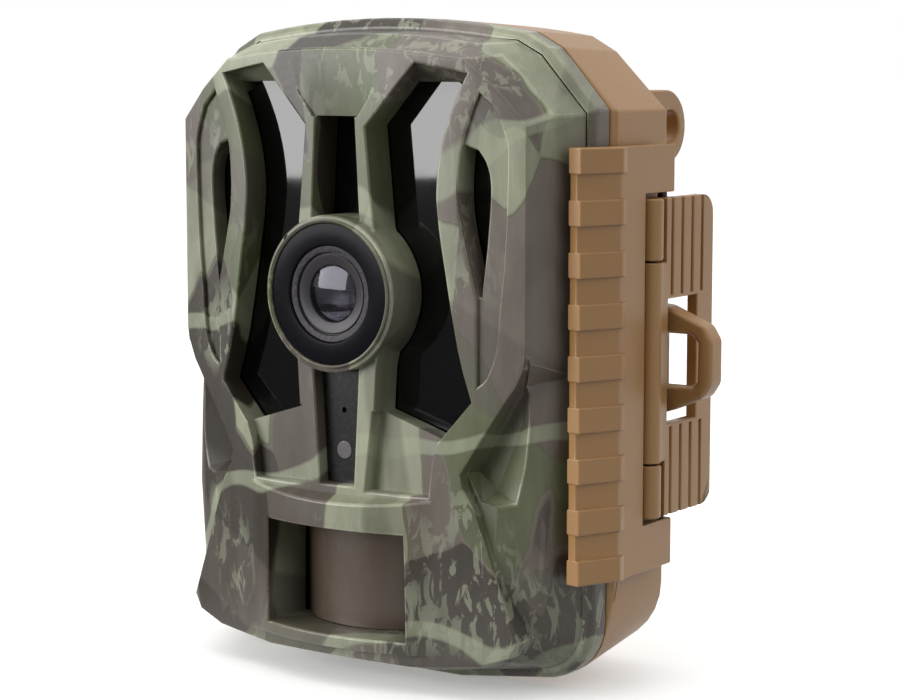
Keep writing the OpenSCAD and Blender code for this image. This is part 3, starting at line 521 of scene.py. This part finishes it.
# Infrared window and tongue: a plate of black infrared-pass acrylic, polished, right behind the openings
# of the bezel, and the black tongue between the lower ribs that carries the microphone and light pipe.
# Polished acrylic: a black mirror.
black_gloss = moulded_plastic("black_gloss_acrylic", "#040405", "#070708", 3.0, 0.035, relief=0.01,
                              spread=0.01)
paint(frame["nodes"]["ir_window"], black_gloss)
# Satin acrylic: a slightly greyer black with a blurred sheen.
black_satin = moulded_plastic("black_satin_acrylic", "#0D0C0D", "#131213", 0.6, 0.26, relief=0.05,
                              spread=0.03)
paint(frame["nodes"]["sensor_tongue"], black_satin)


# Infrared lamp board: a green fibreglass board behind the window, with rows of lamps cast in clear
# epoxy and soldered to it.
# Fibreglass under solder mask: a shiny green.
fibreglass = moulded_plastic("green_fibreglass_board", "#12401F", "#1C5A2E", 0.3, 0.3)
paint(frame["nodes"]["led_board"], fibreglass)
# Epoxy: pale, smooth and shiny.
epoxy = moulded_plastic("clear_epoxy_lamp", "#9A9AA2", "#C8C8D0", 0.8, 0.1, relief=0.02)
paint(frame["nodes"]["ir_leds"], epoxy)


# Lens: a black-printed acrylic ring glued in the barrel, a grey moulded shroud with a grained step and a
# smooth cone, and a coated glass lens over a darker one in the bore.
# Each profile holds radii and distances behind the back of the ring.
low, high = (np.array(corner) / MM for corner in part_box("lens_ring"))
lens_axis = ((0, high[1], (low[2] + high[2]) / 2), (0, 1, 0))
# Printed acrylic: a deep, even black that hardly reflects.
ring_black = moulded_plastic("black_printed_acrylic", "#111015", "#16151A", 1.0, 0.22, relief=0.04,
                             spread=0.03, Specular_IOR_Level=0.06)
ring_r, hole_r = high[0], 7.6
ring_front, ring_back, ring_middle = -0.92, -0.05, -0.5
ring = softened([(hole_r, ring_middle), (hole_r, ring_back), (ring_r, ring_back), (ring_r, ring_front),
                 (hole_r + 0.15, ring_front), (hole_r, ring_front + 0.17), (hole_r, ring_middle)], 0.12)
paint(place_piece("lens_ring_turned", turned("lens_ring_turned", ring, *lens_axis), "door",
                  ["lens_ring"]), ring_black)
# Grained shroud: a grey with dark and light specks.
shroud_grain = moulded_plastic("grey_grained_shroud", "#2C292C", "#524D52", 0.28, 0.5, relief=0.9,
                               patch_mm=0.45, Specular_IOR_Level=0.2)
# Smooth shroud: an even grey with a soft sheen.
shroud_cone = moulded_plastic("grey_smooth_shroud", "#393539", "#433F43", 0.3, 0.3, relief=0.1,
                              Specular_IOR_Level=0.2)
shroud_r, shroud_bore, shroud_back = 9.2, 4.05, 6.15
# From the back: the outer wall and shoulder, the grained step, the groove, the cone and the bore.
shroud = softened([(shroud_bore, shroud_back), (shroud_r, shroud_back), (shroud_r, 0.05), (7.55, 0.05),
                   (7.5, -0.55), (6.55, -0.4), (6.5, 0.1), (6.25, 0.1), (6.2, -0.15), (4.55, 0.25),
                   (4.4, 0.8), (shroud_bore, shroud_back)], 0.1)
middle_r = (shroud[:-1, 0] + shroud[1:, 0]) / 2
bore_edge, cone_edge, groove_edge = 4.5, 6.24, 6.53
bands = np.select([middle_r < bore_edge, middle_r < cone_edge, middle_r < groove_edge], [2, 1, 2], 0)
paint(place_piece("lens_shroud_turned", turned("lens_shroud_turned", shroud, *lens_axis, bands=bands), "door",
                  ["lens_shroud"]), shroud_grain, shroud_cone, black_abs)


def coated_glass():
    """Coated optical glass: clear, with a faint violet reflection that drifts over the dome."""
    drift_mm = 4.5455
    material, tree, surface, place = new_material("coated_optical_glass")
    drift = add(tree, "ShaderNodeTexNoise", {"Vector": place, "Scale": 1 / (drift_mm * MM), "Detail": 1.0})
    tint = stops(add(tree, "ShaderNodeValToRGB", {"Fac": drift.outputs["Fac"]}),
                 (0.35, "#B4B0BE"), (0.65, "#C8C8CE"))
    shader = add(tree, "ShaderNodeBsdfPrincipled",
                 {"Base Color": linear("#8C8A92"), "Specular Tint": tint.outputs["Color"], "Roughness": 0.01,
                  "IOR": 1.6, "Transmission Weight": 1.0})
    tree.links.new(shader.outputs["BSDF"], surface)
    return material


def dome(rim_r, apex, sag, count=20):
    """Half profile of a lens face: a circular arc from the axis at the apex to the rim, sag deeper."""
    bow = (rim_r ** 2 + sag ** 2) / (2 * sag)
    r = np.linspace(0, rim_r, count)
    return np.column_stack([r, apex + bow - np.sqrt(bow ** 2 - r ** 2)])


glass_r, glass_front, glass_back = 4.3, -0.1, 1.3
front_lens = np.vstack([dome(glass_r, glass_front, 0.6), dome(glass_r, glass_back, 0.2)[::-1]])
paint(place_piece("lens_glass_turned", turned("lens_glass_turned", front_lens, *lens_axis), "door",
                  ["lens_glass"]), coated_glass())
rear_r, rear_rim, rear_back = 4.04, 1.9, 6.1
hollow = dome(3.6, 0, 1.0) * (1, -1) + (0, 2.7)
rear_lens = np.vstack([hollow, [(rear_r, rear_rim), (rear_r, rear_back), (0, rear_back)]])
bands = np.where(np.arange(len(rear_lens) - 1) < len(hollow) - 1, 0, 1)
# Coated rear lens: a dark brown depth behind the front glass.
coated_dark = moulded_plastic("coated_rear_lens", "#2E2625", "#3A312F", 2.0, 0.05, relief=0.0, spread=0.01,
                              Coat_Weight=0.6)
paint(place_piece("lens_rear_turned", turned("lens_rear_turned", rear_lens, *lens_axis, bands=bands), "door"), coated_dark, black_abs)
paint(frame["nodes"]["lens_holder"], black_abs)


# Motion sensor: a curved lens moulded in brown polyethylene and held in the frame below the camera lens,
# and the plated steel can of the sensor, on the main board behind it.
# Polyethylene: a waxy brown with a soft, wide highlight.
brown_pe = moulded_plastic("brown_polyethylene_lens", "#4A3E33", "#55483C", 0.8, 0.36, relief=0.2)
moulded("pir_lens", 0.2, brown_pe, segments=2)
paint(frame["nodes"]["pir_sensor"], steel)


# Microphone and light pipe: the microphone's steel can behind a pinhole in the tongue, and a moulded grey
# pipe that leads light through the tongue to the main board.
# Moulded pipe: a plain grey dot, a little shiny.
grey_pipe = moulded_plastic("grey_light_pipe", "#5A5455", "#645E5F", 0.6, 0.3)
moulded("light_pipe", 0.2, grey_pipe, segments=2)
paint(frame["nodes"]["mic"], steel)


# Main board: a fibreglass board behind the inner panel, with folded steel sockets for the memory card
# and the data plug, and a small switch under each button.
paint(frame["nodes"]["main_board"], fibreglass)
for socket in ("sd_socket", "usb_socket"):
    paint(frame["nodes"][socket], steel)
paint(frame["nodes"]["sd_card"], black_abs)
paint(frame["nodes"]["tact_switches"], steel)


# Inner panel: the dark ABS cover inside the door, held by steel screws, with the screen, five rubber
# buttons and the mode switch set in it.
# Satin ABS: dark grey and dull.
panel_grey = moulded_plastic("satin_grey_panel", "#2A2B2A", "#343534", 0.5, 0.5)
paint(frame["nodes"]["inner_panel"], panel_grey)
# Screen glass: nearly black and almost mirror smooth.
screen = moulded_plastic("screen_glass", "#15181B", "#1B2023", 3.0, 0.06, relief=0.0, spread=0.02)
paint(frame["nodes"]["lcd"], screen)
paint(frame["nodes"]["panel_screws"], steel)
# Rubber: a lighter, matt grey.
rubber = moulded_plastic("grey_rubber_button", "#4A4B4B", "#585959", 0.4, 0.55)
for button in ("btn_up", "btn_down", "btn_left", "btn_right", "btn_ok"):
    moulded(button, 0.4, rubber, segments=3)
moulded("mode_switch", 0.3, rubber, segments=2)


# Studio: a pale sweep, a soft white room, soft boxes, a dark card that only shows in reflections, and
# the camera at the photograph's angle.
def sheet(name, corners, material):
    """A flat four-cornered sheet that belongs to the studio."""
    mesh = bpy.data.meshes.new(name)
    mesh.from_pydata([tuple(corner) for corner in corners], [], [(0, 1, 2, 3)])
    card = bpy.data.objects.new(name, mesh)
    bpy.context.scene.collection.objects.link(card)
    paint(card, material)
    return card


# Floor paper: nearly white and matt. It lies just below the base, so that no two faces share a plane.
sweep, drop = 6, 0.05 * MM
pale = moulded_plastic("pale_floor", "#F0F0EF", "#F3F3F2", 4.0, 0.7, patch_mm=300,
                       Emission_Color=(1, 1, 1, 1), Emission_Strength=0.25)
floor = sheet("floor", [(-sweep, -sweep, -drop), (sweep, -sweep, -drop), (sweep, sweep, -drop),
                        (-sweep, sweep, -drop)], pale)
floor.visible_diffuse = False

# Card: black and matt. It slopes up away from the front, and the window reflects it.
dark = moulded_plastic("dark_card", "#020202", "#030303", 4.0, 0.9, patch_mm=300)
out, side = np.array([-0.564, -0.826, 0.0]), np.array([0.826, -0.564, 0.0])
near, far, wide = out * 0.06 + (0, 0, 0.002), out * 0.62 + (0, 0, 0.050), side * 0.9
card = sheet("dark_card", [near - wide, near + wide, far + wide, far - wide], dark)
for ray in ("camera", "diffuse", "shadow", "transmission", "volume_scatter"):
    setattr(card, "visible_" + ray, False)

world = bpy.data.worlds.new("white_room")
bpy.context.scene.world = world
world.use_nodes = True
room = world.node_tree
# The room is brightest above, behind and to the left of the object.
bright_side = (-0.5, 0.5, 0.7)
toward = add(room, "ShaderNodeVectorMath",
             {0: add(room, "ShaderNodeTexCoord").outputs["Generated"], 1: bright_side},
             operation="DOT_PRODUCT")
fall = add(room, "ShaderNodeMapRange",
           {"Value": toward.outputs["Value"], "From Min": -0.5, "From Max": 0.4,
            "To Min": 0.15, "To Max": 1.0})
room.nodes["Background"].inputs["Color"].default_value = (1, 1, 1, 1)
room.links.new(fall.outputs["Result"], room.nodes["Background"].inputs["Strength"])


def softbox(name, place, aim, width, height, power):
    """A rectangular area light that faces a point."""
    light = bpy.data.lights.new(name, "AREA")
    light.shape, light.size, light.size_y, light.energy = "RECTANGLE", width, height, power
    box = bpy.data.objects.new(name, light)
    bpy.context.scene.collection.objects.link(box)
    box.location = place
    run = np.subtract(aim, place)
    tilt = math.atan2(math.hypot(run[0], run[1]), -run[2])
    box.rotation_euler = (tilt, 0, math.atan2(-run[0], run[1]))


softbox("key_softbox", (-0.59, -0.80, 0.25), (0, 0, 0.08), width=0.72, height=0.45, power=8)
softbox("side_softbox", (0.75, -0.2, 0.42), (0, 0, 0.06), width=0.5, height=0.5, power=1.2)
softbox("top_softbox", (-0.1, -0.05, 0.95), (0, 0, 0.05), width=0.8, height=0.8, power=2.0)

# A long lens, about 34 degrees to the right of the front and 7 degrees above it.
view = bpy.data.cameras.new("camera")
view.lens, view.sensor_width = 96, 36
camera = bpy.data.objects.new("camera", view)
bpy.context.scene.collection.objects.link(camera)
camera.location = (0.22479, -0.32540, 0.09835)
camera.rotation_euler = (math.radians(90 - 6.932), 0, math.radians(34.352))
bpy.context.scene.camera = camera
bpy.context.scene.view_settings.view_transform = "Standard"
